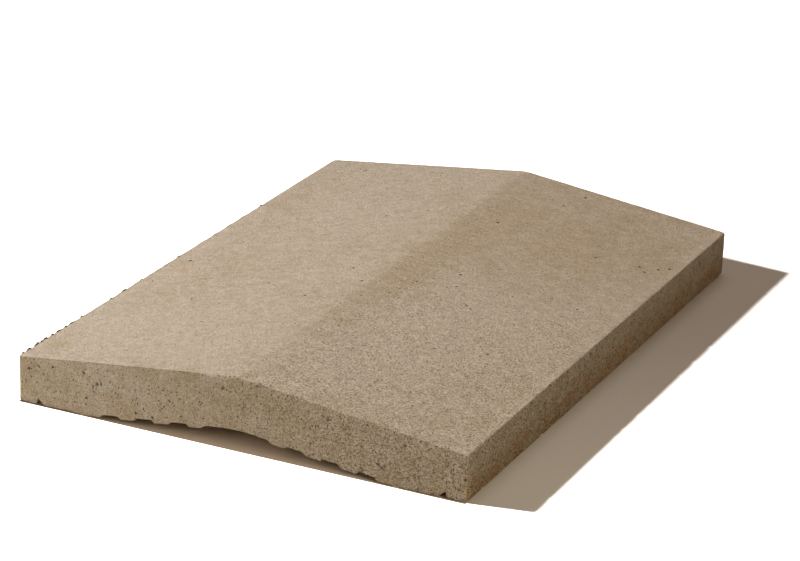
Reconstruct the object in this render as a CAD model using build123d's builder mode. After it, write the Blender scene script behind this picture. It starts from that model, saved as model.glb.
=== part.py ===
"""A gabled wall coping: one piece of fine, dry-cast concrete that caps a garden wall.

Two gentle slopes shed the rain to both eaves from a softly rounded crest. Underneath, the
two outer strips lie flat on the wall and each has a drip groove near the eave. Between
them the soffit rises towards the middle, nearly parallel to the slopes, so that the
casting keeps an even thickness. Lengthwise key grooves in it grip the mortar bed.

Millimetres. X runs across the wall, Y along it and Z up. The origin is on the bed plane,
under the middle of the crest.
"""

import os
from math import atan2, degrees

from build123d import *

# Outer form
length = 500.0  # along the wall
width = 350.0  # across the wall, eave to eave
eave_height = 35.0  # bed plane to the top arris at each eave
slopes_meet_height = 56.0  # where the two slopes would meet if the crest were sharp
crest_radius = 35.0
arris_radius = 1.2  # worn edges round the top, at the corners and under the eaves

# Soffit
bed_half_span = 116.0  # the flat bed ends here, and the soffit starts to rise
bed_blend_radius = 150.0  # of the soft bend between them
soffit_rise = 13.6  # at the middle, where its two halves meet

# Key grooves in the soffit
key_depth = 2.1
key_mouth = 16.4  # width of a groove at the soffit
key_flank_angle = 40.0  # from the soffit
key_pitch = 27.5
key_count = 3  # on each side of the crown recess
first_key_at = 45.4  # middle of the innermost groove, from the centre line

# Crown recess, the wide middle groove under the crest
crown_half_mouth = 27.5
crown_flank_run = 3.2
crown_radius = 120.0

# Drip grooves
drip_from_eave = 14.5  # flat foot between the eave and the groove
drip_mouth = 6.6
drip_depth = 5.0
drip_wall_lean = 1.0  # run of the steep outer wall

groove_edge_radius = 0.5  # edges of the grooves, as they leave the mould

half_width = width / 2
drip_outer = half_width - drip_from_eave
crown_inside = crown_half_mouth - crown_flank_run
soffit_tilt = degrees(atan2(soffit_rise, bed_half_span))


def soffit_height(across: float) -> float:
    """Height of the plain soffit, before its grooves, at a distance from the centre line."""
    return soffit_rise * (bed_half_span - across) / bed_half_span


with BuildPart() as coping:
    # The casting with its two slopes, its flat beds and its plain soffit
    with BuildSketch(Plane.XZ) as section:
        with BuildLine():
            Polyline(
                (0, slopes_meet_height),
                (half_width, eave_height),
                (half_width, 0),
                (bed_half_span, 0),
                (0, soffit_rise),
                close=True,
            )
        make_face()
        mirror(about=Plane.YZ)
        fillet(section.vertices().sort_by(Axis.Y)[-1], crest_radius)
        bed_ends = section.vertices().filter_by(
            lambda corner: corner.Y < soffit_rise and 0 < abs(corner.X) < half_width
        )
        fillet(bed_ends, bed_blend_radius)
    extrude(amount=length / 2, both=True)

    # What the ribs of the mould leave open under it
    with BuildSketch(Plane.XZ) as grooves:
        # Drip groove: a steep outer wall, and an inner wall that runs back to the bed
        with BuildLine():
            Polyline(
                (drip_outer, 0),
                (drip_outer - drip_wall_lean, drip_depth),
                (drip_outer - drip_mouth, 0),
                close=True,
            )
        make_face()

        # Key grooves, square to the soffit
        for number in range(key_count):
            across = first_key_at + number * key_pitch
            with Locations((across, soffit_height(across))):
                Trapezoid(
                    key_mouth,
                    key_depth,
                    key_flank_angle,
                    rotation=-soffit_tilt,
                    align=(Align.CENTER, Align.MIN),
                )

        # Crown recess, with a softly arched ceiling
        with BuildLine():
            Polyline(
                (0, 0),
                (crown_half_mouth, 0),
                (crown_half_mouth, soffit_height(crown_half_mouth)),
                (crown_inside, soffit_height(crown_inside) + key_depth),
                (0, soffit_rise + key_depth),
                close=True,
            )
        make_face()
        mirror(about=Plane.YZ)
        fillet(grooves.vertices().sort_by(Axis.Y)[-1], crown_radius)
    extrude(amount=length / 2, both=True, mode=Mode.SUBTRACT)

    # The grooves' edges, all but the two highest lines, where the arched ceiling runs out
    groove_lines = coping.edges(Select.LAST).filter_by(Axis.Y).sort_by(Axis.Z)[:-2]
    fillet(groove_lines, groove_edge_radius)

    # Arrises: the four corners, the edges under the eaves and the rim round both slopes
    eave_sides = coping.faces().filter_by(Axis.X).group_by(Axis.X)
    side_edges = eave_sides[0].edges() + eave_sides[-1].edges()
    slopes = coping.faces().filter_by(lambda face: face.center().Z > eave_height)
    slope_rim = slopes.edges().group_by(Axis.Y)
    fillet(side_edges + slope_rim[0] + slope_rim[-1], arris_radius)

coping.part.label = "coping"
os.makedirs("parts", exist_ok=True)
export_step(coping.part, "parts/coping.step")
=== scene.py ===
"""The looks of a gabled wall coping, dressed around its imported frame.

The casting is remade as one closed, finer mesh with worn arrises, crumbs, nicks and pits,
and gets a procedural finish of fine dry-cast concrete. The studio around it is a pale
floor, a hard key lamp from the front left and a soft warm fill. Metres throughout.
"""

import logging
from dataclasses import dataclass, field
from enum import Enum
from functools import partial
from math import ceil, exp, radians, sqrt

import bmesh
import bpy
from mathutils import Euler, Matrix, Vector, noise

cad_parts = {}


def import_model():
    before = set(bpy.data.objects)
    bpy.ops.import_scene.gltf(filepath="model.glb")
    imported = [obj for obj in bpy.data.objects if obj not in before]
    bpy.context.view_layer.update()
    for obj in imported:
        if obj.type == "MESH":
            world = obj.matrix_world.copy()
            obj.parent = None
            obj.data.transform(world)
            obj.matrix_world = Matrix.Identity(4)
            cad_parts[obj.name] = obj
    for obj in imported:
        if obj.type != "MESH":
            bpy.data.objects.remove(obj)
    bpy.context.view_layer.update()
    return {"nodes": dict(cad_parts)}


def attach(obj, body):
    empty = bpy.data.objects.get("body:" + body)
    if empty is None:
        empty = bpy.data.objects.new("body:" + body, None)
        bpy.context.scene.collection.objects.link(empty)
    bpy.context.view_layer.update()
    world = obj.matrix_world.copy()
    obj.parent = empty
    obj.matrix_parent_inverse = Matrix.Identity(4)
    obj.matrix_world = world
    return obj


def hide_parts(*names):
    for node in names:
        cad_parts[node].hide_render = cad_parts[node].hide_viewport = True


MM = 0.001
TINY = 1e-6
STATION_SLACK = 1e-4
ON_FACE = 0.499  # past this, a vertex of the unit box lies on one of its faces
FACING = 0.7  # past this, the X or Y of a normal makes its face an end or an eave side
LEVEL = 0.5  # past this, the Z of a normal makes its face a slope or the soffit

log = logging.getLogger("coping")


# the casting's section


@dataclass(frozen=True)
class Section:
    """The right half of the coping's cross section, across from the crest line.

    Every size is in metres, and the other half mirrors it.
    """

    half_width: float = 175 * MM
    eave_height: float = 35 * MM
    slopes_meet: float = 56 * MM
    crest_radius: float = 35 * MM
    bed_end: float = 116 * MM
    bed_blend: float = 150 * MM
    blend_run: float = 8.7 * MM
    soffit_rise: float = 13.6 * MM
    key_depth: float = 2.1 * MM
    key_mouth: float = 16.4 * MM
    key_flank: float = 2.5 * MM
    key_pitch: float = 27.5 * MM
    first_key: float = 45.4 * MM
    keys: int = 3
    crown_mouth: float = 27.5 * MM
    crown_flank: float = 3.2 * MM
    crown_arch: float = 14 * MM
    crown_radius: float = 120 * MM
    drip_outer: float = 160.5 * MM
    drip_lean: float = 1 * MM
    drip_depth: float = 5 * MM
    drip_mouth: float = 6.6 * MM

    @property
    def fall(self) -> float:
        """Fall of a slope for each metre across."""
        return (self.slopes_meet - self.eave_height) / self.half_width

    def roof(self, across: float) -> float:
        """Give the height of the slopes.

        Args:
            across: Distance from the crest line, on either side.

        Returns:
            The height above the bed plane.
        """
        tangent = self.crest_radius * self.fall / sqrt(1 + self.fall**2)
        if abs(across) >= tangent:
            return self.slopes_meet - self.fall * abs(across)
        centre = self.slopes_meet - self.crest_radius * sqrt(1 + self.fall**2)
        return centre + sqrt(self.crest_radius**2 - across**2)

    def plain_soffit(self, across: float) -> float:
        """Give the height of the soffit without its grooves, at a distance across."""
        return self.soffit_rise * (self.bed_end - across) / self.bed_end

    def soffit_corners(self) -> list[tuple[float, float]]:
        """List the soffit's corners from the crest line to the eave.

        Returns:
            Pairs of distance across and height.
        """
        inside = self.crown_mouth - self.crown_flank
        ceiling = self.plain_soffit(inside) + self.key_depth
        pitch = self.soffit_rise / self.bed_end
        corners = []
        for part in range(4):
            across = self.crown_arch * part / 4
            sag = (self.crown_arch**2 - across**2) / (2 * self.crown_radius)
            height = ceiling + pitch * (inside - self.crown_arch) + sag
            corners.append((across, height))
        corners.append((self.crown_arch, ceiling + pitch * (inside - self.crown_arch)))
        corners.append((inside, ceiling))
        corners.append((self.crown_mouth, self.plain_soffit(self.crown_mouth)))
        for key in range(self.keys):
            middle = self.first_key + key * self.key_pitch
            mouth = self.key_mouth / 2
            floor = mouth - self.key_flank
            depths = (0.0, self.key_depth, self.key_depth, 0.0)
            for offset, depth in zip((-mouth, -floor, floor, mouth), depths):
                across = middle + offset
                corners.append((across, self.plain_soffit(across) + depth))
        start = corners[-1][0]
        flat = self.bed_end + self.blend_run
        for part in range(1, 4):
            across = start + (flat - start) * part / 4
            corners.append((across, (flat - across) ** 2 / (2 * self.bed_blend)))
        corners.append((flat, 0.0))
        corners.append((self.drip_outer - self.drip_mouth, 0.0))
        corners.append((self.drip_outer - self.drip_lean, self.drip_depth))
        corners.append((self.drip_outer, 0.0))
        corners.append((self.half_width, 0.0))
        return corners


def interpolate(pairs: list[tuple[float, float]], at: float) -> float:
    """Read a value off a line given by its corners.

    Args:
        pairs: Corners of the line, in rising order of their first number.
        at: Where to read it.

    Returns:
        The second number at that place.
    """
    for (start, low), (end, high) in zip(pairs, pairs[1:]):
        if at <= end:
            share = (at - start) / (end - start) if end > start else 0.0
            return low + (high - low) * max(0.0, share)
    return pairs[-1][1]


def clamped(value: float) -> float:
    """Keep a value between 0 and 1."""
    return min(1.0, max(0.0, value))


def smooth_step(value: float, low: float, high: float) -> float:
    """Rise smoothly from 0 at low to 1 at high."""
    share = clamped((value - low) / (high - low))
    return share * share * (3 - 2 * share)


def divided(corners: list[float], step: float) -> list[float]:
    """Divide the gaps between corners into steps no longer than one length.

    Args:
        corners: Places that stay, in rising order.
        step: The longest step.

    Returns:
        All the places, corners and divisions, in rising order.
    """
    places = [corners[0]]
    for start, end in zip(corners, corners[1:]):
        parts = max(1, ceil((end - start) / step - TINY))
        places += [start + (end - start) * part / parts for part in range(1, parts + 1)]
    return places


@dataclass(frozen=True)
class Ramp:
    """A smooth rise from 0 at one value to 1 at another."""

    low: float
    high: float

    def at(self, value: float) -> float:
        """Give how far the rise has come at a value."""
        return smooth_step(value, self.low, self.high)


@dataclass(frozen=True)
class Ripple:
    """An irregular wave over the casting, by its size and its waves for each metre."""

    size: float
    rate: float
    shift: tuple[float, float, float] = (0.0, 0.0, 0.0)

    def wave(self, place: Vector) -> float:
        """Give the wave at a place, between minus and plus its size."""
        return self.size * noise.noise(place * self.rate + Vector(self.shift))

    def dip(self, place: Vector) -> float:
        """Give the wave at a place as a depth, between 0 and twice its size."""
        return self.size * (1 + noise.noise(place * self.rate + Vector(self.shift)))


# blemishes


@dataclass(frozen=True)
class Pit:
    """A small hollow in a cast face, at its place on that face."""

    along: float
    up: float
    radius: float
    depth: float


@dataclass(frozen=True)
class Wear:
    """A stretch of arris that is worn or broken, by its middle, half length and bite."""

    along: float
    reach: float
    bite: float

    def at(self, along: float) -> float:
        """Give the bite at a place along the arris, full over the middle of the stretch."""
        away = smooth_step(abs(along - self.along), 0.3 * self.reach, self.reach)
        return self.bite * (1 - away)


@dataclass(frozen=True)
class Crumb:
    """A crumb of mortar that stands on the left eave, by its middle, half length and height."""

    along: float
    reach: float
    height: float


@dataclass(frozen=True)
class Cloud:
    """A soft patch of another tone, by its middle, its half axes and its strength."""

    across: float
    along: float
    wide: float
    long: float
    strength: float

    def share(self, across: float, along: float) -> float:
        """Give the patch's strength at a place on its face."""
        away = ((across - self.across) / self.wide) ** 2 + ((along - self.along) / self.long) ** 2
        return self.strength * exp(-away)


def in_mm(kind: type, *rows: tuple[float, ...]) -> tuple:
    """Make one blemish from each row of sizes in millimetres."""
    return tuple(kind(*(size * MM for size in row)) for row in rows)


FRONT_PITS = in_mm(
    Pit,
    (-121.2, 31.7, 0.9, 0.9),
    (-113.9, 24.1, 1.0, 0.8),
    (-110.6, 25.6, 1.1, 0.9),
    (-107.4, 27.0, 0.9, 0.8),
    (-140.1, 13.2, 0.9, 0.6),
    (-127.0, 12.2, 0.8, 0.6),
    (-80.0, 32.8, 0.9, 0.7),
    (-80.0, 28.3, 0.8, 0.6),
    (-10.5, 44.6, 1.1, 0.8),
    (6.8, 35.6, 0.9, 0.7),
    (70.3, 37.9, 1.0, 0.9),
    (109.2, 13.4, 1.0, 0.8),
    (111.9, 11.2, 1.0, 0.8),
    (113.4, 13.0, 0.8, 0.7),
    (128.5, 31.8, 1.0, 0.8),
    (128.9, 21.6, 0.9, 0.7),
    (160.8, 22.8, 0.9, 0.7),
    (163.4, 21.0, 0.9, 0.7),
)
RIGHT_PITS = in_mm(
    Pit,
    (193.1, 26.6, 1.6, 1.2),
    (236.1, 16.8, 1.3, 1.0),
    (-33.8, 30.9, 1.3, 0.9),
)
RIGHT_EAVE_WEAR = in_mm(
    Wear,
    (73.0, 3.5, 1.5),
    (41.2, 3.0, 1.6),
    (12.0, 2.6, 1.2),
    (-70.0, 4.0, 1.0),
    (-112.0, 3.0, 1.2),
    (-226.2, 4.0, 1.0),
)
RIGHT_FOOT_WEAR = in_mm(
    Wear,
    (-120.4, 2.6, 2.2),
    (-222.3, 2.2, 2.0),
)
FRONT_ARRIS_WEAR = in_mm(
    Wear,
    (-8.0, 30.0, 2.2),
    (30.0, 14.0, 0.9),
    (82.0, 5.0, 1.0),
    (-165.0, 3.5, 0.8),
)
LEFT_EAVE_CRUMBS = in_mm(
    Crumb,
    (-245.3, 1.4, 0.9),
    (-237.6, 3.2, 0.9),
    (-226.0, 3.6, 1.3),
    (-220.4, 2.0, 1.0),
    (-215.0, 3.0, 1.3),
    (-205.5, 2.4, 1.0),
    (-196.5, 4.0, 0.7),
    (-187.0, 2.0, 0.9),
    (-178.0, 5.0, 0.5),
    (-164.8, 1.6, 0.9),
    (-122.3, 1.8, 0.7),
    (-103.1, 3.0, 0.8),
    (-77.7, 1.8, 0.6),
    (-20.0, 2.0, 0.5),
    (116.0, 2.0, 0.6),
)
SLOPE_CLOUDS = (
    Cloud(85 * MM, -70 * MM, 55 * MM, 75 * MM, 0.80),
    Cloud(55 * MM, -165 * MM, 40 * MM, 50 * MM, 0.25),
    Cloud(-80 * MM, -180 * MM, 50 * MM, 45 * MM, 0.65),
    Cloud(-85 * MM, 105 * MM, 40 * MM, 60 * MM, 0.45),
    Cloud(-60 * MM, 235 * MM, 80 * MM, 35 * MM, 0.35),
    Cloud(14 * MM, 10 * MM, 20 * MM, 110 * MM, -0.45),
    Cloud(20 * MM, 140 * MM, 26 * MM, 60 * MM, -0.30),
    Cloud(105 * MM, 110 * MM, 55 * MM, 50 * MM, -0.30),
    Cloud(-160 * MM, -225 * MM, 26 * MM, 26 * MM, -0.40),
    Cloud(-120 * MM, -30 * MM, 30 * MM, 70 * MM, -0.20),
)
FRONT_CLOUDS = (
    Cloud(150 * MM, 12 * MM, 60 * MM, 30 * MM, -0.24),
    Cloud(-100 * MM, 30 * MM, 30 * MM, 10 * MM, 0.35),
    Cloud(-172 * MM, 18 * MM, 9 * MM, 30 * MM, -0.35),
    Cloud(-10 * MM, 30 * MM, 40 * MM, 16 * MM, -0.20),
)


# the casting


@dataclass(frozen=True)
class Relief:
    """The shallow relief that the mould and the mix leave in the cast faces."""

    broad: Ripple = Ripple(0.06 * MM, 18.0)
    sandy: Ripple = Ripple(0.06 * MM, 260.0)
    drawn: Ripple = Ripple(0.02 * MM, 400.0)
    draw: float = 0.1  # how fast the drawn relief changes upwards, against sideways
    grain: Ripple = Ripple(0.05 * MM, 420.0)
    grain_from: Ramp = Ramp(0.0, 90 * MM)

    def depth(self, place: Vector, normal: Vector) -> float:
        """Give how deep the relief is.

        Args:
            place: A place on the surface.
            normal: The way that the surface looks there.

        Returns:
            The depth below the true face, never negative.
        """
        depth = self.broad.dip(place) + self.sandy.dip(place)
        if abs(normal.z) > LEVEL:
            return depth
        depth += self.drawn.dip(Vector((place.x, place.y, place.z * self.draw)))
        return depth + self.grain_from.at(place.x) * self.grain.dip(place)


@dataclass(frozen=True)
class CrumbRow:
    """The crumbs of mortar in a narrow band along the left eave, with a thin trail."""

    band: float = 2.0 * MM
    drop: float = 1.2 * MM
    narrowing: float = 0.85
    spread: Ripple = Ripple(0.7, 220.0, (0.0, 5.0, 2.0))
    ragged: Ripple = Ripple(0.9, 700.0)
    flat_share: float = 0.3  # of the band, before the crumbs fall off
    trail: Ripple = Ripple(1.0, 90.0, (0.0, 3.0, 8.0))
    trail_where: Ramp = Ramp(0.0, 0.35)
    trail_end: float = 120 * MM
    film: float = 0.15 * MM

    def height(self, place: Vector, inside: float) -> float:
        """Give how high the crumbs stand.

        Args:
            place: A place near the top of the eave.
            inside: Its distance from the side of the eave.

        Returns:
            The height of the crumb there, or nothing.
        """
        line = Vector((place.y, 0.0, 0.0))
        height = 0.0
        for crumb in LEFT_EAVE_CRUMBS:
            away = abs(place.y - crumb.along) / crumb.reach
            if away < 1:
                height = max(height, crumb.height * sqrt(1 - away**2))
        if place.y < self.trail_end:
            height = max(height, self.film * self.trail_where.at(self.trail.wave(line)))
        reach = self.band * (self.narrowing + self.spread.wave(line))
        edge = smooth_step(inside, self.flat_share * reach, reach)
        return max(0.0, height * (1 + self.ragged.wave(place)) * (1 - edge))


@dataclass(frozen=True)
class Tones:
    """How the stone's tone and mix change over the casting, each from 0 to 1."""

    middle: float = 0.5
    wide: Ripple = Ripple(0.22, 14.0)
    narrow: Ripple = Ripple(0.18, 45.0)
    eave_pale: float = 0.35
    eave_band: Ramp = Ramp(165 * MM, 170 * MM)
    right_half: Ramp = Ramp(-20 * MM, 30 * MM)
    # painted shade on the right half of the slopes, more towards the back
    right_painted_shade: float = 0.20
    right_shade_front: float = 0.6
    right_shade_back: Ramp = Ramp(0.0, 200 * MM)
    # pushes the front end towards ochre: partly its yellower tone, partly painted shade
    front_ochre_and_shade: float = 0.2
    side_on: Ramp = Ramp(0.4, 0.9)
    ruddy_left: float = 0.45
    ruddy_top: Ramp = Ramp(4 * MM, 30 * MM)
    ruddy_middle: float = 0.75
    ruddy_wide: Ripple = Ripple(0.6, 60.0)
    ruddy_narrow: Ripple = Ripple(0.4, 170.0)
    coarse_left: float = 0.42
    coarse_across: Ramp = Ramp(-70 * MM, 110 * MM)
    side_fade: float = 0.5
    side_along: Ramp = Ramp(-150 * MM, 250 * MM)
    slope_along: Ramp = Ramp(-250 * MM, 230 * MM)
    coarse_soffit: float = 0.2

    def cloud_and_shade(self, place: Vector, normal: Vector) -> float:
        """Give the tone from ochre to ashen.

        Args:
            place: A place on the surface.
            normal: The way that the surface looks there.

        Returns:
            The share of the ashen tone.
        """
        tone = self.middle + self.wide.wave(place) + self.narrow.wave(place)
        if abs(normal.z) > LEVEL:
            tone += sum(patch.share(place.x, place.y) for patch in SLOPE_CLOUDS)
            tone += self.eave_pale * self.eave_band.at(abs(place.x))
            # painted shade: the right half of the slopes darker, more so towards the back
            dark = self.right_painted_shade * self.right_half.at(place.x)
            tone -= dark * (self.right_shade_front + self.right_shade_back.at(place.y))
        elif normal.y < -FACING:
            tone += sum(patch.share(place.x, place.z) for patch in FRONT_CLOUDS)
            # the front end pushed towards ochre: partly its yellower tone, partly painted shade
            tone -= self.front_ochre_and_shade
        return clamped(tone)

    def ruddy(self, place: Vector, normal: Vector) -> float:
        """Give how ruddy the lower half of an eave side is.

        Args:
            place: A place on the surface.
            normal: The way that the surface looks there.

        Returns:
            The share of the ruddy tone.
        """
        side = self.side_on.at(normal.x) + self.ruddy_left * self.side_on.at(-normal.x)
        low = 1 - self.ruddy_top.at(place.z)
        patchy = self.ruddy_middle + self.ruddy_wide.wave(place) + self.ruddy_narrow.wave(place)
        return clamped(side * low * patchy)

    def coarse(self, place: Vector, normal: Vector) -> float:
        """Give how coarse the mix lies open, most at the front end and on the right.

        Args:
            place: A place on the surface.
            normal: The way that the surface looks there.

        Returns:
            The coarseness.
        """
        if normal.y < -FACING:
            right = self.coarse_across.at(place.x)
            return self.coarse_left + (1 - self.coarse_left) * right
        if abs(normal.z) < LEVEL:
            return 1.0 - self.side_fade * self.side_along.at(place.y)
        if normal.z < 0:
            return self.coarse_soffit
        return self.right_half.at(place.x) * (1 - self.slope_along.at(place.y))


@dataclass
class Casting:
    """The whole coping as one closed mesh."""

    section: Section = Section()
    relief: Relief = Relief()
    crumbs: CrumbRow = CrumbRow()
    tones: Tones = Tones()
    half_length: float = 250 * MM

    # the mesh
    across_step: float = 1.9 * MM
    along_step: float = 2.4 * MM
    edge_stations: tuple[float, ...] = (0.0, 0.35 * MM, 0.8 * MM, 1.4 * MM, 2.3 * MM, 3.8 * MM)
    edge_gap: float = 0.5 * MM
    height_shares: tuple[float, ...] = (
        0.0, 0.012, 0.028, 0.05, 0.085, 0.14, 0.22, 0.31, 0.4, 0.5,
        0.6, 0.69, 0.78, 0.86, 0.915, 0.95, 0.972, 0.988, 1.0,
    )
    kept_rows: int = 12
    kept_columns: int = 2
    row_stride: int = 8
    crumb_columns: int = 4
    crumb_levels: int = 2

    # the arrises
    arris: float = 0.9 * MM
    foot_arris: float = 0.45 * MM
    corner_arris: float = 1.7 * MM
    corner_reach: Ramp = Ramp(2 * MM, 5 * MM)
    slow_wear: Ripple = Ripple(0.25, 45.0)
    quick_wear: Ripple = Ripple(0.20, 260.0, (7.0, 3.0, 1.0))
    broken: Ripple = Ripple(1.0, 170.0, (1.0, 9.0, 4.0))
    broken_where: Ramp = Ramp(0.42, 0.75)
    broken_bite: float = 1.0 * MM
    foot_broken: Ripple = Ripple(1.0, 330.0)
    foot_where: Ramp = Ramp(0.05, 0.55)
    foot_bite: float = 0.9 * MM
    outer_share: float = 0.97
    full_shift: float = 0.41  # how far rounding moves an edge, for each unit of radius

    # the pits
    pit_ragged: Ripple = Ripple(0.5, 1100.0)
    pit_slope: Ramp = Ramp(0.3, 1.4)
    pit_reach: float = 1.6
    pit_full_shade: float = 0.8 * MM  # from this depth on, a pit is fully dark with painted hole shade

    corners: list[tuple[float, float]] = field(init=False)
    across: list[float] = field(init=False)
    along: list[float] = field(init=False)

    def __post_init__(self) -> None:
        """Work out the section's corners and the stations across and along."""
        self.corners = self.section.soffit_corners()
        half = divided([across for across, _ in self.corners], self.across_step)
        half = divided(self.with_edge(half), self.across_step)
        self.across = [-place for place in reversed(half[1:])] + half
        self.along = divided(
            [-self.half_length + gap for gap in self.edge_stations]
            + [self.half_length - gap for gap in reversed(self.edge_stations)],
            self.along_step,
        )

    def build(self) -> bpy.types.Object:
        """Make the casting's mesh and its object.

        Returns:
            The object, linked to the scene and at the origin.
        """
        shell = self.lattice()
        self.thin_soffit(shell)
        self.refine(shell)
        self.settle(shell)
        self.round_arrises(shell)
        self.weather(shell)
        self.tint(shell)
        bmesh.ops.remove_doubles(shell, verts=shell.verts, dist=TINY)
        bmesh.ops.recalc_face_normals(shell, faces=shell.faces)
        mesh = bpy.data.meshes.new("coping_casting")
        shell.to_mesh(mesh)
        shell.free()
        mesh.shade_smooth()
        piece = bpy.data.objects.new("coping_casting", mesh)
        bpy.context.scene.collection.objects.link(piece)
        return piece

    def with_edge(self, half: list[float]) -> list[float]:
        """Add the close stations next to the eave to the stations across.

        Args:
            half: The stations from the crest line to the eave.

        Returns:
            The same with the last ones replaced by the close ones.
        """
        inner = self.section.half_width - self.edge_stations[-1]
        kept = [place for place in half if place < inner - self.edge_gap]
        return kept + [self.section.half_width - gap for gap in reversed(self.edge_stations)]

    def lattice(self) -> bmesh.types.BMesh:
        """Make a closed box with one cell for each station.

        Returns:
            The box, one unit wide each way and centred.
        """
        shell = bmesh.new()
        bmesh.ops.create_cube(shell, size=1.0)
        counts = (len(self.across), len(self.along), len(self.height_shares))
        for axis, count in enumerate(counts):
            edges = [
                edge
                for edge in shell.edges
                if abs(edge.verts[0].co[axis] - edge.verts[1].co[axis]) > 0.5
            ]
            bmesh.ops.subdivide_edges(shell, edges=edges, cuts=count - 2)
        return shell

    def thin_soffit(self, shell: bmesh.types.BMesh) -> None:
        """Thin out the rows of the hidden soffit, away from both ends.

        Args:
            shell: The unit box.
        """
        rows = len(self.along) - 1
        columns = len(self.across) - 1
        spare = []
        for edge in shell.edges:
            first, second = (vertex.co for vertex in edge.verts)
            if max(first.z, second.z) > -ON_FACE or abs(first.y - second.y) > TINY:
                continue
            row = round((first.y + 0.5) * rows)
            column = round((min(first.x, second.x) + 0.5) * columns)
            inner = self.kept_columns <= column < columns - self.kept_columns
            if inner and self.kept_rows < row < rows - self.kept_rows and row % self.row_stride:
                spare.append(edge)
        bmesh.ops.dissolve_edges(shell, edges=spare, use_verts=True, use_face_split=False)

    def refine(self, shell: bmesh.types.BMesh) -> None:
        """Halve the cells of the front end, and cut the rows of the crumbly left eave in three.

        Args:
            shell: The unit box.
        """
        front = [
            edge for edge in shell.edges if all(vertex.co.y < -ON_FACE for vertex in edge.verts)
        ]
        bmesh.ops.subdivide_edges(shell, edges=front, cuts=1, use_grid_fill=True)
        inside = (self.crumb_columns + 0.5) / (len(self.across) - 1) - 0.5
        above = 0.5 - (self.crumb_levels + 0.5) / (len(self.height_shares) - 1)
        eave = [
            edge
            for edge in shell.edges
            if abs(edge.verts[0].co.y - edge.verts[1].co.y) > TINY
            and all(v.co.x < inside and v.co.z > above and v.co.y > -ON_FACE for v in edge.verts)
        ]
        bmesh.ops.subdivide_edges(shell, edges=eave, cuts=2, use_grid_fill=True)

    def settle(self, shell: bmesh.types.BMesh) -> None:
        """Move the unit box's vertices to their stations on the section.

        Args:
            shell: The unit box.
        """
        wall = shell.verts.layers.float.new("upright")
        across = list(enumerate(self.across))
        along = list(enumerate(self.along))
        shares = list(enumerate(self.height_shares))
        for vertex in shell.verts:
            place = vertex.co + Vector((0.5, 0.5, 0.5))
            x = self.read(across, place.x * (len(across) - 1))
            y = self.read(along, place.y * (len(along) - 1))
            share = self.read(shares, place.z * (len(shares) - 1))
            low = interpolate(self.corners, abs(x))
            high = self.section.roof(x)
            vertex[wall] = 1.0 if 0 < share < 1 else 0.5
            if max(abs(vertex.co.x), abs(vertex.co.y)) < ON_FACE:
                vertex[wall] = 0.0
            vertex.co = Vector((x, y, low + (high - low) * share))

    @staticmethod
    def read(stations: list[tuple[int, float]], index: float) -> float:
        """Read a station by its number, and between two stations in proportion.

        Args:
            stations: Numbers and places.
            index: A number, whole or not.

        Returns:
            The place there.
        """
        lower = min(int(index + STATION_SLACK), len(stations) - 1)
        upper = min(lower + 1, len(stations) - 1)
        share = max(0.0, index - lower)
        return stations[lower][1] * (1 - share) + stations[upper][1] * share

    def arris_radius(self, place: Vector, at_top: bool) -> float:
        """Give the radius of the worn arris nearest to a place.

        Args:
            place: A place near the edge, before it is rounded.
            at_top: Whether the edge is one round the slopes.

        Returns:
            The radius that the wear has left there.
        """
        base = self.arris if at_top else self.foot_arris
        from_side = self.section.half_width - abs(place.x)
        from_end = self.half_length - abs(place.y)
        corner = 1 - self.corner_reach.at(max(from_side, from_end))
        base += (self.corner_arris - base) * corner
        radius = base * (1.0 + self.slow_wear.wave(place) + self.quick_wear.wave(place))
        if place.x > 0:
            radius += self.broken_bite * self.broken_where.at(self.broken.wave(place))
        if place.x > self.outer_share * self.section.half_width:
            stretches = RIGHT_EAVE_WEAR if at_top else RIGHT_FOOT_WEAR
            radius += sum(wear.at(place.y) for wear in stretches)
        if place.y < -self.outer_share * self.half_length:
            if at_top:
                radius += sum(wear.at(place.x) for wear in FRONT_ARRIS_WEAR)
            else:
                radius += self.foot_bite * self.foot_where.at(self.foot_broken.wave(place))
        return radius

    def round_arrises(self, shell: bmesh.types.BMesh) -> None:
        """Round the edges of the casting to their worn radii.

        Args:
            shell: The settled casting.
        """
        arris = shell.verts.layers.float.new("arris")
        for vertex in shell.verts:
            place = vertex.co.copy()
            low = interpolate(self.corners, abs(place.x))
            high = self.section.roof(place.x)
            at_top = high - place.z < place.z - low
            radius = self.arris_radius(place, at_top)
            gap_up = high - place.z if at_top else place.z - low
            reach = Vector(
                (
                    max(0.0, radius - (self.section.half_width - abs(place.x))),
                    max(0.0, radius - (self.half_length - abs(place.y))),
                    max(0.0, radius - gap_up),
                )
            )
            if reach.length < TINY:
                continue
            shift = reach - reach * (radius / reach.length)
            sign_z = 1.0 if at_top else -1.0
            vertex.co.x -= shift.x if place.x > 0 else -shift.x
            vertex.co.y -= shift.y if place.y > 0 else -shift.y
            vertex.co.z -= sign_z * shift.z
            vertex[arris] = min(1.0, shift.length / (self.full_shift * radius))

    def weather(self, shell: bmesh.types.BMesh) -> None:
        """Work the relief of the cast faces, their pits and the crumbs on the left eave.

        Args:
            shell: The casting with its arrises rounded.
        """
        hollow = shell.verts.layers.float.new("hollow")
        crust_and_shade = shell.verts.layers.float.new("crust_and_shade")
        shell.normal_update()
        moves = []
        for vertex in shell.verts:
            pit = self.pit_depth(vertex.co, vertex.normal)
            crumb = self.crumb_height(vertex.co)
            # how far a pit gets the painted shade of a hole, full from a set depth on
            vertex[hollow] = min(1.0, pit / self.pit_full_shade)
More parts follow.
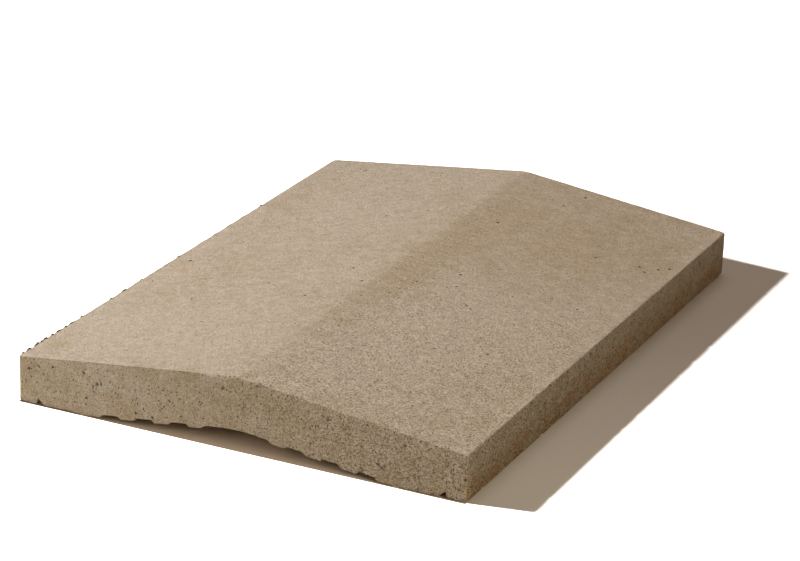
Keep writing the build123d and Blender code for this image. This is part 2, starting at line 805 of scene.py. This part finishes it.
            # the crumbs' dark: partly dark mortar, partly painted shade between and under them
            vertex[crust_and_shade] = min(1.0, crumb / self.crumbs.film)
            depth = self.relief.depth(vertex.co, vertex.normal)
            move = -(depth + pit) * vertex.normal
            if crumb > 0:
                move = Vector((0.0, 0.0, crumb))
            moves.append((vertex, move))
        for vertex, move in moves:
            vertex.co += move
            vertex.co.z = max(0.0, vertex.co.z)

    def crumb_height(self, place: Vector) -> float:
        """Give how high the crumbs on the left eave stand at a place.

        Args:
            place: A place on the surface.

        Returns:
            The height of the crumb there, or nothing.
        """
        inside = place.x + self.section.half_width
        if inside > self.crumbs.band or place.z < self.section.eave_height - self.crumbs.drop:
            return 0.0
        return self.crumbs.height(place, inside)

    def pit_depth(self, place: Vector, normal: Vector) -> float:
        """Give how deep the named pits are at a place on an upright face.

        Args:
            place: A place on the surface.
            normal: The way that the surface looks there.

        Returns:
            The depth of the pit there, or nothing.
        """
        if normal.y < -FACING:
            pits, along = FRONT_PITS, place.x
        elif normal.x > FACING:
            pits, along = RIGHT_PITS, place.y
        else:
            return 0.0
        depth = 0.0
        for pit in pits:
            away = sqrt((along - pit.along) ** 2 + (place.z - pit.up) ** 2) / pit.radius
            if away < self.pit_reach:
                away *= 1 + self.pit_ragged.wave(place)
                depth = max(depth, pit.depth * (1 - self.pit_slope.at(away)))
        return depth

    def tint(self, shell: bmesh.types.BMesh) -> None:
        """Write the soft tones of the faces: pale or ochre clouds, and ruddy eave sides.

        Args:
            shell: The weathered casting.
        """
        cloud_and_shade = shell.verts.layers.float.new("cloud_and_shade")
        ruddy = shell.verts.layers.float.new("ruddy")
        coarse = shell.verts.layers.float.new("coarse")
        shell.normal_update()
        for vertex in shell.verts:
            where = (vertex.co, vertex.normal)
            # tone from ochre to ashen, which also carries painted shade on the slopes' right half
            # and the front end
            vertex[cloud_and_shade] = self.tones.cloud_and_shade(*where)
            vertex[ruddy] = self.tones.ruddy(*where)
            vertex[coarse] = self.tones.coarse(*where)


# finishes


Colour = tuple[float, float, float, float]
WHITE: Colour = (1.0, 1.0, 1.0, 1.0)


class NodeSheet:
    """One node tree, with short ways to add nodes and wire them."""

    MIX_FACTOR = 0
    MIX_COLOURS = (6, 7)
    MIX_RESULT = 2

    def __init__(self, tree: bpy.types.NodeTree) -> None:
        """Take the tree that the nodes go into."""
        self.tree = tree

    def add(self, kind: str, inputs: dict | None = None, **settings: object) -> bpy.types.Node:
        """Add a node.

        Args:
            kind: The node's type name.
            inputs: Values or sockets for its inputs, by name or number.
            **settings: Options of the node itself.

        Returns:
            The node.
        """
        node = self.tree.nodes.new(kind)
        for name, value in settings.items():
            setattr(node, name, value)
        for name, value in (inputs or {}).items():
            self.feed(node.inputs[name], value)
        return node

    def feed(self, socket: bpy.types.NodeSocket, value: object) -> None:
        """Wire a socket to another one, or set its value.

        Args:
            socket: The input.
            value: What goes into it.
        """
        if isinstance(value, bpy.types.NodeSocket):
            self.tree.links.new(value, socket)
        else:
            socket.default_value = value

    def maths(self, operation: str, *values: object, clamp: bool = False) -> bpy.types.NodeSocket:
        """Add a sum on numbers.

        Args:
            operation: The name of the sum.
            *values: Its numbers or sockets.
            clamp: Whether the result is kept between 0 and 1.

        Returns:
            The result's socket.
        """
        inputs = dict(enumerate(values))
        return self.add("ShaderNodeMath", inputs, operation=operation, use_clamp=clamp).outputs[0]

    def spread(
        self, value: object, low: float, high: float, to_low: float = 0.0, to_high: float = 1.0
    ) -> bpy.types.NodeSocket:
        """Map a range smoothly to another one.

        Args:
            value: The number or socket to map.
            low: Where the range starts.
            high: Where the range ends.
            to_low: The result at its start, usually 0.
            to_high: The result at its end, usually 1.

        Returns:
            The result's socket.
        """
        inputs = {"Value": value, "From Min": low, "From Max": high}
        inputs |= {"To Min": to_low, "To Max": to_high}
        return self.add("ShaderNodeMapRange", inputs, interpolation_type="SMOOTHSTEP").outputs[0]

    def blend(
        self, factor: object, first: object, second: object, way: str = "MIX"
    ) -> bpy.types.NodeSocket:
        """Mix two colours.

        Args:
            factor: The second one's share.
            first: The colour or socket underneath.
            second: The colour or socket on top.
            way: How they are mixed.

        Returns:
            The mixed colour's socket.
        """
        under, over = self.MIX_COLOURS
        inputs = {self.MIX_FACTOR: factor, under: first, over: second}
        settings = {"data_type": "RGBA", "blend_type": way, "clamp_result": True}
        return self.add("ShaderNodeMix", inputs, **settings).outputs[self.MIX_RESULT]

    def glowing_matt(self, colour: object, glow: Colour, strength: object) -> None:
        """Finish a material with a matt colour that also glows.

        Args:
            colour: The matt colour or its socket.
            glow: The colour of the glow.
            strength: The glow's strength or its socket.
        """
        matt = self.add("ShaderNodeBsdfDiffuse", {"Color": colour})
        light = self.add("ShaderNodeEmission", {"Color": glow, "Strength": strength})
        both = self.add("ShaderNodeAddShader", {0: matt.outputs[0], 1: light.outputs[0]})
        self.feed(self.add("ShaderNodeOutputMaterial").inputs["Surface"], both.outputs[0])


def blank_material(name: str) -> tuple[bpy.types.Material, NodeSheet]:
    """Make a material without nodes.

    Args:
        name: Its name.

    Returns:
        The material and its node sheet.
    """
    material = bpy.data.materials.new(name)
    material.use_nodes = True
    material.node_tree.nodes.clear()
    return material, NodeSheet(material.node_tree)


class Effect(Enum):
    """The shared surface effects, each one shader node group."""

    SAND = "fine_sand"
    MOTTLE = "soft_mottle"
    HOLES = "air_holes"
    DRAG = "drag_marks"


class EffectShelf:
    """Builds each shared effect once and hands out copies of its group node."""

    FLOAT = "NodeSocketFloat"
    VECTOR = "NodeSocketVector"
    EVEN = (0.28, 0.72)  # the range that most of the noise keeps to
    DOME_EDGE = (0.1, 0.75)  # in cells, from the middle of a grain
    DOME_HEIGHT = 0.6
    EVEN_HEIGHT = 0.8
    HOLE_EDGE = (0.55, 1.05)  # in radii, from the middle of a hole
    DRAG_RANGE = (0.3, 0.7)
    RAGGED_RATE = 1400.0
    RAGGED_SIZE = 0.5
    SMALLEST_HOLE = 0.35
    DRAWN = (1.0, 1.0, 0.09)  # how far drag marks are drawn out upwards

    def __init__(self) -> None:
        """Start with no effect built."""
        self.built: dict[Effect, bpy.types.NodeTree] = {}

    def place(self, sheet: NodeSheet, effect: Effect, **inputs: object) -> bpy.types.Node:
        """Place an effect in a material.

        Args:
            sheet: The material's node sheet.
            effect: Which effect.
            **inputs: Values or sockets for the group's inputs.

        Returns:
            The group node.
        """
        if effect not in self.built:
            makers = {
                Effect.SAND: self.sand,
                Effect.MOTTLE: self.mottle,
                Effect.HOLES: self.holes,
                Effect.DRAG: self.drag,
            }
            self.built[effect] = makers[effect]()
        return sheet.add("ShaderNodeGroup", inputs, node_tree=self.built[effect])

    def group(
        self, effect: Effect, inputs: dict[str, str], outputs: dict[str, str]
    ) -> tuple[NodeSheet, bpy.types.Node, bpy.types.Node]:
        """Start a node group.

        Args:
            effect: The effect it makes.
            inputs: Names and socket types of its inputs.
            outputs: Names and socket types of its outputs.

        Returns:
            Its sheet, its input node and its output node.
        """
        tree = bpy.data.node_groups.new(effect.value, "ShaderNodeTree")
        for way, sockets in (("INPUT", inputs), ("OUTPUT", outputs)):
            for name, kind in sockets.items():
                tree.interface.new_socket(name=name, in_out=way, socket_type=kind)
        sheet = NodeSheet(tree)
        return sheet, sheet.add("NodeGroupInput"), sheet.add("NodeGroupOutput")

    def sand(self) -> bpy.types.NodeTree:
        """Make sand grains: a tone for each grain, rare odd ones, and their height.

        Returns:
            The group's node tree.
        """
        sheet, start, end = self.group(
            Effect.SAND,
            {"Vector": self.VECTOR, "Grains": self.FLOAT, "Odd Share": self.FLOAT},
            {"Tone": self.FLOAT, "Odd": self.FLOAT, "Height": self.FLOAT},
        )
        vector, grains = start.outputs["Vector"], start.outputs["Grains"]
        cells = sheet.add("ShaderNodeTexVoronoi", {"Vector": vector, "Scale": grains})
        chance = sheet.add("ShaderNodeSeparateColor", {"Color": cells.outputs["Color"]})
        fine = sheet.add(
            "ShaderNodeTexNoise",
            {"Vector": vector, "Scale": grains, "Detail": 3.0, "Roughness": 0.75},
        )
        even = sheet.spread(fine.outputs["Fac"], *self.EVEN)
        tint = sheet.maths("MULTIPLY", chance.outputs[0], 0.5)
        tone = sheet.maths("MULTIPLY_ADD", even, 0.5, tint)
        dome = sheet.spread(cells.outputs["Distance"], *self.DOME_EDGE, 1.0, 0.0)
        lift = sheet.maths("MULTIPLY", dome, chance.outputs[2])
        lift = sheet.maths("MULTIPLY", lift, self.DOME_HEIGHT)
        height = sheet.maths("MULTIPLY_ADD", even, self.EVEN_HEIGHT, lift)
        odd = sheet.maths("LESS_THAN", chance.outputs[1], start.outputs["Odd Share"])
        sheet.feed(end.inputs["Tone"], tone)
        sheet.feed(end.inputs["Odd"], odd)
        sheet.feed(end.inputs["Height"], height)
        return sheet.tree

    def mottle(self) -> bpy.types.NodeTree:
        """Make soft patches that run from 0 to 1.

        Returns:
            The group's node tree.
        """
        sheet, start, end = self.group(
            Effect.MOTTLE,
            {"Vector": self.VECTOR, "Patches": self.FLOAT, "Detail": self.FLOAT},
            {"Value": self.FLOAT},
        )
        patches = sheet.add(
            "ShaderNodeTexNoise",
            {
                "Vector": start.outputs["Vector"],
                "Scale": start.outputs["Patches"],
                "Detail": start.outputs["Detail"],
                "Roughness": 0.55,
            },
        )
        sheet.feed(end.inputs["Value"], sheet.spread(patches.outputs["Fac"], *self.EVEN))
        return sheet.tree

    def holes(self) -> bpy.types.NodeTree:
        """Make scattered air holes of mixed sizes as a mask from 0 to 1.

        Returns:
            The group's node tree.
        """
        sheet, start, end = self.group(
            Effect.HOLES,
            {"Vector": self.VECTOR, "Cells": self.FLOAT, "Share": self.FLOAT, "Radius": self.FLOAT},
            {"Mask": self.FLOAT},
        )
        ragged = sheet.add(
            "ShaderNodeTexNoise",
            {"Vector": start.outputs["Vector"], "Scale": self.RAGGED_RATE, "Detail": 1.0},
        )
        cells = sheet.add(
            "ShaderNodeTexVoronoi",
            {"Vector": start.outputs["Vector"], "Scale": start.outputs["Cells"]},
        )
        chance = sheet.add("ShaderNodeSeparateColor", {"Color": cells.outputs["Color"]})
        chosen = sheet.maths("LESS_THAN", chance.outputs[0], start.outputs["Share"])
        size = sheet.maths("ADD", chance.outputs[1], self.SMALLEST_HOLE)
        size = sheet.maths("MULTIPLY", size, start.outputs["Radius"])
        wobble = sheet.maths("SUBTRACT", ragged.outputs["Fac"], 0.5)
        wobble = sheet.maths("MULTIPLY", wobble, self.RAGGED_SIZE)
        away = sheet.maths("DIVIDE", cells.outputs["Distance"], size)
        away = sheet.maths("ADD", away, wobble)
        inside = sheet.spread(away, *self.HOLE_EDGE, 1.0, 0.0)
        sheet.feed(end.inputs["Mask"], sheet.maths("MULTIPLY", inside, chosen))
        return sheet.tree

    def drag(self) -> bpy.types.NodeTree:
        """Make upright drag marks, which the mould leaves as the casting slides out.

        Returns:
            The group's node tree.
        """
        sheet, start, end = self.group(
            Effect.DRAG,
            {"Vector": self.VECTOR, "Lines": self.FLOAT},
            {"Value": self.FLOAT},
        )
        drawn = sheet.add(
            "ShaderNodeVectorMath",
            {0: start.outputs["Vector"], 1: self.DRAWN},
            operation="MULTIPLY",
        )
        marks = sheet.add(
            "ShaderNodeTexNoise",
            {"Vector": drawn.outputs[0], "Scale": start.outputs["Lines"], "Detail": 2.0},
        )
        sheet.feed(end.inputs["Value"], sheet.spread(marks.outputs["Fac"], *self.DRAG_RANGE))
        return sheet.tree


@dataclass(frozen=True)
class HoleSort:
    """One size of air hole: cells for each metre, radius in cells, and the cells that have one.

    Their share is what it is everywhere, and more on upright faces, where the mix lies open,
    and where both hold.
    """

    cells: float
    radius: float
    everywhere: float = 0.0
    upright: float = 0.0
    opened: float = 0.0
    both: float = 0.0


@dataclass(frozen=True)
class CastStone:
    """Fine, dry-cast concrete, sandy and matt.

    Colours are linear, rates are features for each metre, and grain_depth is in metres. A
    share says how much of a colour shows, and a height is a part of grain_depth. What the
    names call upright or open holds on upright faces, or where the mix lies open.
    """

    pale: Colour = (0.965, 0.855, 0.695, 1.0)
    dark: Colour = (0.245, 0.175, 0.097, 1.0)
    ochre: Colour = (0.900, 0.850, 0.770, 1.0)
    ashen: Colour = (1.060, 1.095, 1.170, 1.0)
    ruddy: Colour = (0.930, 0.760, 0.580, 1.0)
    # painted shade, which darkens the upright faces, and in part the open right half of the slopes
    painted_shade: Colour = (0.845, 0.850, 0.850, 1.0)
    rust: Colour = (0.420, 0.190, 0.080, 1.0)
    quartz: Colour = (0.800, 0.740, 0.640, 1.0)
    # painted shade in the air holes and pits
    hole: Colour = (0.090, 0.052, 0.027, 1.0)
    # near black on the eave crumbs: partly dark mortar, partly painted shade
    crust_and_shade: Colour = (0.045, 0.028, 0.015, 1.0)

    grain_rate: float = 820.0
    speck_rate: float = 1300.0
    blotch_rate: float = 150.0
    wisp_rate: float = 70.0
    drag_rate: float = 620.0

    middle_tone: float = 0.445
    grain_tone: float = 0.46
    grain_tone_upright: float = -0.12
    grain_tone_open: float = -0.14
    blotch_tone: float = 0.11
    speck_tone: float = 1.20
    wisp_tone: float = 0.5

    holes: tuple[HoleSort, ...] = (
        HoleSort(900.0, 0.52, everywhere=0.015, opened=0.10, both=0.16),
        HoleSort(430.0, 0.26, both=0.10),
        HoleSort(150.0, 0.20, everywhere=0.035, upright=0.07),
    )
    quartz_grains: float = 0.015
    rust_grains: float = 0.012
    quartz_share: float = 0.35
    rust_share: float = 0.5
    painted_shade_open: float = 0.4
    drag_share: float = 0.04
    # pale on the rounded arrises: partly worn stone, partly painted highlight
    worn_and_highlight_share: float = 0.25
    hole_shade_share: float = 0.92

    blotch_height: float = 0.5
    drag_height: float = 0.15
    grain_height: float = 0.84
    grain_height_upright: float = -0.15
    grain_height_open: float = -0.20
    speck_height: float = 0.2
    hole_height: float = -1.2
    grain_depth: float = 1.0 * MM
    roughness: float = 0.95
    shine: float = 0.2

    def build(self, shelf: EffectShelf) -> bpy.types.Material:
        """Make the material.

        Args:
            shelf: The shared effects.

        Returns:
            The material.
        """
        material, sheet = blank_material("cast_stone")
        add = partial(sheet.maths, "MULTIPLY_ADD")
        times = partial(sheet.maths, "MULTIPLY")
        place = sheet.add("ShaderNodeTexCoord").outputs["Object"]
        upright, opened = self.read(sheet, "upright"), self.read(sheet, "coarse")

        grain, speck = (
            shelf.place(
                sheet, Effect.SAND, **{"Vector": place, "Grains": rate, "Odd Share": odd}
            ).outputs
            for rate, odd in (
                (self.grain_rate, self.quartz_grains),
                (self.speck_rate, self.rust_grains),
            )
        )
        blotch, wisps = (
            shelf.place(
                sheet, Effect.MOTTLE, Vector=place, Patches=rate, Detail=detail
            ).outputs["Value"]
            for rate, detail in ((self.blotch_rate, 2.0), (self.wisp_rate, 4.0))
        )
        drag = shelf.place(sheet, Effect.DRAG, Vector=place, Lines=self.drag_rate)
        marks = times(drag.outputs["Value"], upright)
        gaps = self.gaps(sheet, shelf, place, upright, opened)

        share = add(upright, self.grain_tone_upright, self.grain_tone)
        share = add(opened, self.grain_tone_open, share)
        tone = add(sheet.maths("SUBTRACT", grain["Tone"], 0.5), share, self.middle_tone)
        tone = add(blotch, self.blotch_tone, tone)
        specks = times(sheet.maths("SUBTRACT", speck["Tone"], 0.5), opened)
        tone = add(specks, self.speck_tone, tone)
        stone = sheet.blend(tone, self.dark, self.pale)
        # the clouds' tone, which also carries painted shade on the right slope and the front end
        cloud_and_shade = add(wisps, self.wisp_tone, self.read(sheet, "cloud_and_shade"))
        cloud_and_shade = sheet.maths("SUBTRACT", cloud_and_shade, self.wisp_tone / 2)
        cloud_and_shade = sheet.blend(cloud_and_shade, self.ochre, self.ashen)
        stone = sheet.blend(1.0, stone, cloud_and_shade, "MULTIPLY")
        stone = sheet.blend(self.read(sheet, "ruddy"), stone, self.ruddy, "MULTIPLY")
        # painted shade: upright faces, and in part the open parts of the slopes, darker than the
        # lit slopes
        shade = sheet.maths("MAXIMUM", upright, times(opened, self.painted_shade_open))
        stone = sheet.blend(shade, stone, self.painted_shade, "MULTIPLY")
        for mask, most, colour in (
            (grain["Odd"], self.quartz_share, self.quartz),
            (speck["Odd"], self.rust_share, self.rust),
            (marks, self.drag_share, self.dark),
            # pale on the rounded arrises: partly worn stone, partly painted highlight
            (self.read(sheet, "arris"), self.worn_and_highlight_share, self.pale),
            # painted shade: air holes and pits darkened as if shade filled them
            (gaps, self.hole_shade_share, self.hole),
            # dark on the crumbs along the left eave: partly dark mortar, partly painted shade
            (self.read(sheet, "crust_and_shade"), 1.0, self.crust_and_shade),
        ):
            stone = sheet.blend(times(mask, most), stone, colour)

        lift = add(upright, self.grain_height_upright, self.grain_height)
        lift = add(opened, self.grain_height_open, lift)
        height = add(blotch, self.blotch_height, grain["Height"])
        height = times(add(marks, self.drag_height, height), lift)
        height = add(times(speck["Height"], opened), self.speck_height, height)
        height = add(gaps, self.hole_height, height)
        bump = sheet.add(
            "ShaderNodeBump",
            {"Strength": 1.0, "Distance": self.grain_depth, "Height": height},
        )
        shader = sheet.add(
            "ShaderNodeBsdfPrincipled",
            {
                "Base Color": stone,
                "Roughness": self.roughness,
                "Specular IOR Level": self.shine,
                "Normal": bump.outputs["Normal"],
            },
        )
        out = sheet.add("ShaderNodeOutputMaterial")
        sheet.feed(out.inputs["Surface"], shader.outputs["BSDF"])
        return material

    @staticmethod
    def read(sheet: NodeSheet, name: str) -> bpy.types.NodeSocket:
        """Read one of the casting's own values."""
        return sheet.add("ShaderNodeAttribute", attribute_name=name).outputs["Fac"]

    def gaps(
        self,
        sheet: NodeSheet,
        shelf: EffectShelf,
        place: bpy.types.NodeSocket,
        upright: bpy.types.NodeSocket,
        opened: bpy.types.NodeSocket,
    ) -> bpy.types.NodeSocket:
        """Make the mask of the air holes and pits, most of them in the upright faces.

        Args:
            sheet: The material's node sheet.
            shelf: The shared effects.
            place: The place on the casting.
            upright: How far the face is an upright one.
            opened: How far the mix lies open.

        Returns:
            The mask's socket.
        """
        # this mask both sinks the holes and pits and paints shade into them
        both = sheet.maths("MULTIPLY", upright, opened)
        gaps = self.read(sheet, "hollow")
        for sort in self.holes:
            share = sort.everywhere
            for where, more in ((upright, sort.upright), (opened, sort.opened), (both, sort.both)):
                if more:
                    share = sheet.maths("MULTIPLY_ADD", where, more, share)
            holes = shelf.place(
                sheet, Effect.HOLES, Vector=place, Cells=sort.cells, Share=share, Radius=sort.radius
            )
            gaps = sheet.maths("MAXIMUM", gaps, holes.outputs["Mask"])
        return gaps


@dataclass(frozen=True)
class StudioFloor:
    """The plain floor: white to the camera where it is lit, and warm in the shadow."""

    # the camera's colour of the floor, which painted shade darkens from front to back
    front: Colour = (0.71, 0.68, 0.63, 1.0)
    painted_shade_back: Colour = (0.52, 0.475, 0.435, 1.0)
    bounced: Colour = (0.170, 0.152, 0.122, 1.0)
    glow_from: float = 0.36
    glow_to: float = 0.45
    shade_ramp_start: float = -0.25
    shade_ramp_end: float = 0.20

    def build(self) -> bpy.types.Material:
        """Make the material.

        Returns:
            The material.
        """
        material, sheet = blank_material("studio_floor")
        place = sheet.add("ShaderNodeTexCoord").outputs["Object"]
        away = sheet.add("ShaderNodeVectorMath", {0: place}, operation="LENGTH").outputs["Value"]
        glow = sheet.spread(away, self.glow_from, self.glow_to)
        path = sheet.add("ShaderNodeLightPath")
        seen = sheet.maths("MAXIMUM", path.outputs["Is Camera Ray"], path.outputs["Is Glossy Ray"])
        along = sheet.add("ShaderNodeSeparateXYZ", {0: place}).outputs["Y"]
        # painted shade: the floor's colour darkens towards the back, so that its shadow deepens
        # there
        shade = sheet.spread(along, self.shade_ramp_start, self.shade_ramp_end)
        shown = sheet.blend(shade, self.front, self.painted_shade_back)
        colour = sheet.blend(seen, self.bounced, shown)
        sheet.glowing_matt(colour, WHITE, sheet.maths("MULTIPLY", glow, seen))
        return material


@dataclass(frozen=True)
class BedShade:
    """The floor right under the casting, which the hard lamps don't reach.

    The camera alone sees a painted light glow on it, for the faint light from the front that
    creeps in under the arch, over rim_depth at the crest line and less towards the beds.
    """

    colour: Colour = (0.90, 0.82, 0.74, 1.0)
    # colour of the painted light under the front of the arch
    painted_rim_light: Colour = (0.120, 0.093, 0.068, 1.0)
    rim_from: float = -0.2512
    rim_depth: float = 0.036
    rim_taper: float = -0.30
    rim_half_span: float = 0.125

    def build(self) -> bpy.types.Material:
        """Make the material.

        Returns:
            The material.
        """
        material, sheet = blank_material("bed_shade")
        place = sheet.add("ShaderNodeTexCoord").outputs["Object"]
        sides = sheet.add("ShaderNodeSeparateXYZ", {0: place}).outputs
        across = sheet.maths("ABSOLUTE", sides["X"])
        reach = sheet.maths("MULTIPLY_ADD", across, self.rim_taper, self.rim_depth)
        depth = sheet.maths("SUBTRACT", sides["Y"], self.rim_from)
        near = sheet.spread(sheet.maths("DIVIDE", depth, reach), 0.0, 1.0, 1.0, 0.0)
        inside = sheet.maths("LESS_THAN", across, self.rim_half_span)
        seen = sheet.add("ShaderNodeLightPath").outputs["Is Camera Ray"]
        lit = sheet.maths("MULTIPLY", sheet.maths("MULTIPLY", near, inside), seen)
        # painted light: to the camera, the sheet glows near its front edge, as if light crept in
        # under the arch
        sheet.glowing_matt(self.colour, self.painted_rim_light, lit)
        return material


# studio


@dataclass(frozen=True)
class Lamp:
    """A round area lamp aimed at the casting, by its place, diameter, power and colour."""

    name: str
    place: tuple[float, float, float]
    size: float
    watts: float
    colour: tuple[float, float, float]

    def build(self) -> bpy.types.Object:
        """Make the lamp.

        Returns:
            The lamp's object.
        """
        data = bpy.data.lights.new(self.name, "AREA")
        data.shape = "DISK"
        data.size = self.size
        data.energy = self.watts
        data.color = self.colour
        thing = bpy.data.objects.new(self.name, data)
        aim = (-Vector(self.place)).to_track_quat("-Z", "Y").to_matrix().to_4x4()
        thing.matrix_world = Matrix.Translation(self.place) @ aim
        bpy.context.scene.collection.objects.link(thing)
        return thing


@dataclass(frozen=True)
class Viewpoint:
    """The place and aim of the camera."""

    place: tuple[float, float, float] = (0.932136, -2.010820, 0.893257)
    azimuth: float = 24.7478
    elevation: float = 20.9909
    roll: float = 2.0470
    lens: float = 141.8089
    sensor: float = 36.0
    farthest: float = 50.0

    def build(self) -> bpy.types.Object:
        """Make the camera and set it as the scene's own.

        Returns:
            The camera's object.
        """
        data = bpy.data.cameras.new("viewpoint")
        data.lens = self.lens
        data.sensor_width = self.sensor
        data.clip_end = self.farthest
        camera = bpy.data.objects.new("viewpoint", data)
        aim = Euler((radians(90 - self.elevation), 0.0, radians(self.azimuth))).to_matrix()
        turn = Matrix.Rotation(radians(self.roll), 3, "Z")
        camera.matrix_world = Matrix.Translation(self.place) @ (aim @ turn).to_4x4()
        bpy.context.scene.collection.objects.link(camera)
        bpy.context.scene.camera = camera
        return camera


KEY_PLACE = (-1.043, -0.494, 0.923)


@dataclass(frozen=True)
class Studio:
    """The floor, the lamps and the air round the casting."""

    key: Lamp = Lamp("key_lamp", KEY_PLACE, 0.09, 21.1, (0.98, 0.98, 1.0))
    floor_key: Lamp = Lamp("floor_key_lamp", KEY_PLACE, 0.09, 115.0, (0.95, 0.98, 1.0))
    side_fill: Lamp = Lamp("side_fill_lamp", (0.706, -0.408, 0.380), 0.4, 1.38, (1.0, 0.91, 0.70))
    top_fill: Lamp = Lamp("top_fill_lamp", (0.0, 0.676, 1.45), 0.8, 3.54, (1.0, 0.98, 0.92))
    sky: tuple[float, float, float] = (0.151, 0.093, 0.059)
    floor_half: float = 3.0
    bed_half_width: float = 175 * MM
    bed_front: float = -251.2 * MM
    bed_back: float = 250 * MM
    bed_lift: float = -0.05 * MM

    def build(self, piece: bpy.types.Object) -> None:
        """Make the floor, the lamps and the air.

        Args:
            piece: The dressed casting, which the key lamp lights.
        """
        bpy.context.scene.view_settings.view_transform = "Standard"
        wide = Matrix.Diagonal((self.floor_half, self.floor_half, 1.0, 1.0))
        floor = self.sheet("studio_floor", StudioFloor().build(), wide)
        floor.location.z = 2 * self.bed_lift
        reach = (self.bed_back - self.bed_front) / 2
        under = Matrix.Translation((0.0, self.bed_front + reach, 0.0))
        under @= Matrix.Diagonal((self.bed_half_width, reach, 1.0, 1.0))
        shade = self.sheet("bed_shade", BedShade().build(), under)
        shade.location.z = self.bed_lift
        self.side_fill.build()
        self.top_fill.build()
        self.light_only(self.key.build(), "key_lit", (piece, floor))
        self.light_only(self.floor_key.build(), "floor_key_lit", (floor,))
        self.air()

    def light_only(
        self, lamp: bpy.types.Object, name: str, things: tuple[bpy.types.Object, ...]
    ) -> None:
        """Let a lamp light only some things.

        Args:
            lamp: The lamp's object.
            name: A name for the collection of the things.
            things: What it lights.
        """
        lit = bpy.data.collections.new(name)
        for thing in things:
            lit.objects.link(thing)
        lamp.light_linking.receiver_collection = lit

    def air(self) -> None:
        """Make the soft fill from all round, white where the camera looks past the floor."""
        world = bpy.data.worlds.new("studio_air")
        bpy.context.scene.world = world
        world.use_nodes = True
        world.node_tree.nodes.clear()
        sheet = NodeSheet(world.node_tree)
        path = sheet.add("ShaderNodeLightPath")
        fill = sheet.add("ShaderNodeBackground", {"Color": (*self.sky, 1.0)})
        white = sheet.add("ShaderNodeBackground", {"Color": WHITE})
        mix = sheet.add(
            "ShaderNodeMixShader",
            {0: path.outputs["Is Camera Ray"], 1: fill.outputs[0], 2: white.outputs[0]},
        )
        out = sheet.add("ShaderNodeOutputWorld")
        sheet.feed(out.inputs["Surface"], mix.outputs[0])

    def sheet(self, name: str, finish: bpy.types.Material, reach: Matrix) -> bpy.types.Object:
        """Make a level sheet.

        Args:
            name: The name of the object and its mesh.
            finish: Its material.
            reach: What brings a sheet of one unit each way to its size and place.

        Returns:
            The sheet's object.
        """
        grid = bmesh.new()
        bmesh.ops.create_grid(grid, x_segments=1, y_segments=1, size=1.0, matrix=reach)
        mesh = bpy.data.meshes.new(name)
        grid.to_mesh(mesh)
        grid.free()
        mesh.materials.append(finish)
        thing = bpy.data.objects.new(name, mesh)
        bpy.context.scene.collection.objects.link(thing)
        return thing


def main() -> None:
    """Build the casting and the studio, and report each piece."""
    logging.basicConfig(level=logging.INFO, format="%(message)s")
    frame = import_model()
    log.info("packed nodes: %s", ", ".join(frame["nodes"]))
    piece = Casting().build()
    piece.data.materials.append(CastStone().build(EffectShelf()))
    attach(piece, "root")
    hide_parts("coping")
    log.info("%s: %d faces", piece.name, len(piece.data.polygons))
    Studio().build(piece)
    Viewpoint().build()


if __name__ == "__main__":
    main()
